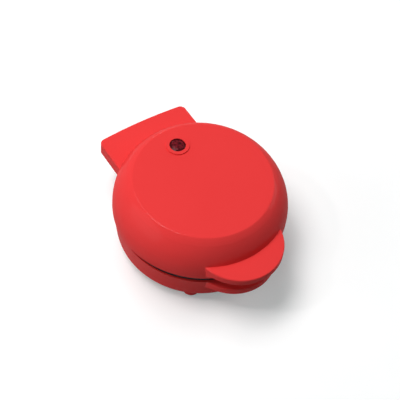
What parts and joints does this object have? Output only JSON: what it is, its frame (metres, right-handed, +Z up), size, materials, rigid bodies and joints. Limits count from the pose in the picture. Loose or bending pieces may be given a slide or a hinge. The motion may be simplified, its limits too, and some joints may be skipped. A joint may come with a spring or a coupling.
{
  "type": "mini donut maker",
  "caption": "Small countertop cooker: a domed lid with front handle hinged on a round bowl base, with ring-shaped moulds in both plates and a round indicator lens on top.",
  "frame": {"origin": "on the floor under the middle of the outline", "axes": "+Z up; the handle points to -Y and the hinge is at +Y; +X to the right seen from the handle"},
  "size_m": [0.127, 0.1634, 0.0678],
  "materials": {
    "red_shell": "glossy moulded red plastic",
    "black_plastic": "satin black heat-proof plastic",
    "non_stick": "dark non-stick coating on cast aluminium",
    "element_steel": "dull heater sheath",
    "sheet_metal": "plain pressed sheet",
    "screw_steel": "zinc plated",
    "bakelite": "dark moulded",
    "white_plastic": "plain moulded",
    "pin_steel": "plain turned",
    "red_lens": "tinted clear red plastic",
    "lamp_glass": "small neon lamp",
    "foot_rubber": "soft dark red rubber"
  },
  "bodies": {
    "base": {"base_shell": "red_shell", "lower_ring": "black_plastic", "lower_plate": "non_stick", "lower_heater": "element_steel", "lower_reflector": "sheet_metal", "lower_plate_screws": "screw_steel", "base_screws": "screw_steel", "thermostat": "bakelite", "thermostat_bracket": "sheet_metal", "thermostat_screws": "screw_steel", "thermal_fuse": "sheet_metal", "fuse_clip": "sheet_metal", "terminal_block": "white_plastic", "terminal_screws": "screw_steel", "hinge_pin": "pin_steel", "hinge_clip": "pin_steel", "foot_front_left": "foot_rubber", "foot_front_right": "foot_rubber", "foot_rear_left": "foot_rubber", "foot_rear_right": "foot_rubber"},
    "lid": {"lid_shell": "red_shell", "upper_ring": "black_plastic", "upper_plate": "non_stick", "upper_heater": "element_steel", "upper_reflector": "sheet_metal", "upper_plate_screws": "screw_steel", "upper_ring_screws": "screw_steel", "indicator_lens": "red_lens", "lens_retainer": "black_plastic", "indicator_lamp": "lamp_glass", "lamp_sleeve": "white_plastic"}
  },
  "joints": [
    {"name": "lid_hinge", "type": "hinge", "parent": "base", "child": "lid", "pos_m": [0, 0.0701, 0.0335], "axis": [-1, 0, 0], "range_deg": [0, 100]}
  ]
}
